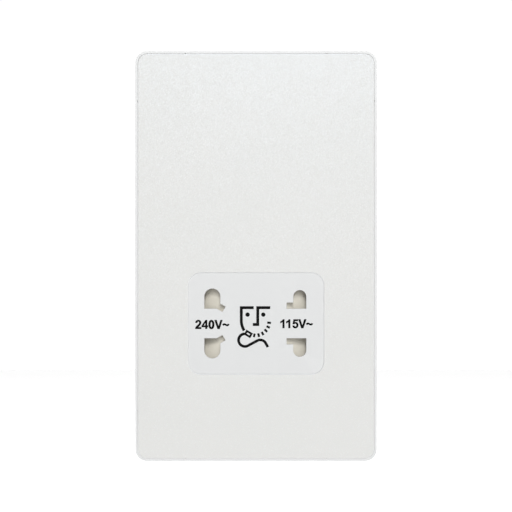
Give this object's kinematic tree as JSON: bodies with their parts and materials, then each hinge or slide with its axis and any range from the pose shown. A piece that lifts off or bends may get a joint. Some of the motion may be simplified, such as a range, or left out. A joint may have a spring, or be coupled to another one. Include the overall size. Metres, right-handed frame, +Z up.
{
  "type": "shaver socket",
  "caption": "Dual-voltage shaver supply socket for a two-gang wall box: pearl-white clip-on plate, white insert with pin openings over a sprung shutter, transformer housing behind.",
  "frame": {"origin": "midway between the two fixing holes, on the wall plane", "axes": "+Z up, +X to the right as seen from the front, +Y into the wall, so the front faces -Y"},
  "size_m": [0.086, 0.0485, 0.146],
  "materials": {
    "cover_pearl": "pearl paint on a moulded plate, satin",
    "frame_white": "satin",
    "fascia_white": "smooth white moulding, semi-gloss",
    "shutter_cream": "fine satin",
    "spring_steel": "drawn wire",
    "contact_bronze": "phosphor bronze strip, satin",
    "moulding_cream": "satin",
    "core_steel": "varnished laminations",
    "plated_steel": "zinc plated",
    "bobbin_black": "satin",
    "winding_copper": "enamelled copper wire",
    "cutout_case": "satin",
    "housing_white": "satin",
    "terminal_moulding": "satin",
    "terminal_brass": "machined",
    "lead_brown": "wire insulation",
    "lead_blue": "wire insulation",
    "lead_black": "wire insulation",
    "lead_red": "wire insulation",
    "lead_yellow": "wire insulation"
  },
  "bodies": {
    "socket": {"cover_plate": "cover_pearl", "mounting_frame": "frame_white", "fascia": "fascia_white", "spring_left": "spring_steel", "spring_right": "spring_steel", "switch_strip_common": "contact_bronze", "switch_strip_load": "contact_bronze", "contact_base": "moulding_cream", "contact_240_top": "contact_bronze", "contact_240_bottom": "contact_bronze", "contact_115_top": "contact_bronze", "contact_115_bottom": "contact_bronze", "common_link": "contact_bronze", "transformer_core": "core_steel", "core_clamp": "plated_steel", "bobbin": "bobbin_black", "winding_primary": "winding_copper", "winding_secondary": "winding_copper", "bobbin_pins": "plated_steel", "thermal_cutout": "cutout_case", "rear_housing": "housing_white", "terminal_block": "terminal_moulding", "terminal_live": "terminal_brass", "terminal_earth": "terminal_brass", "terminal_neutral": "terminal_brass", "terminal_screws": "plated_steel", "housing_screws": "plated_steel", "base_screws": "plated_steel", "block_screws": "plated_steel", "lead_live": "lead_brown", "lead_neutral": "lead_blue", "lead_switched": "lead_brown", "lead_secondary_common": "lead_black", "lead_secondary_240": "lead_red", "lead_secondary_115": "lead_yellow"},
    "shutter": {"shutter": "shutter_cream", "switch_bridge": "contact_bronze"}
  },
  "joints": [
    {"name": "shutter_slide", "type": "slide", "parent": "socket", "child": "shutter", "axis": [1, 0, 0], "range_m": [-0.0088, 0.0088], "stiffness_N_per_m": 150, "deforming": ["spring_left", "spring_right"]}
  ]
}
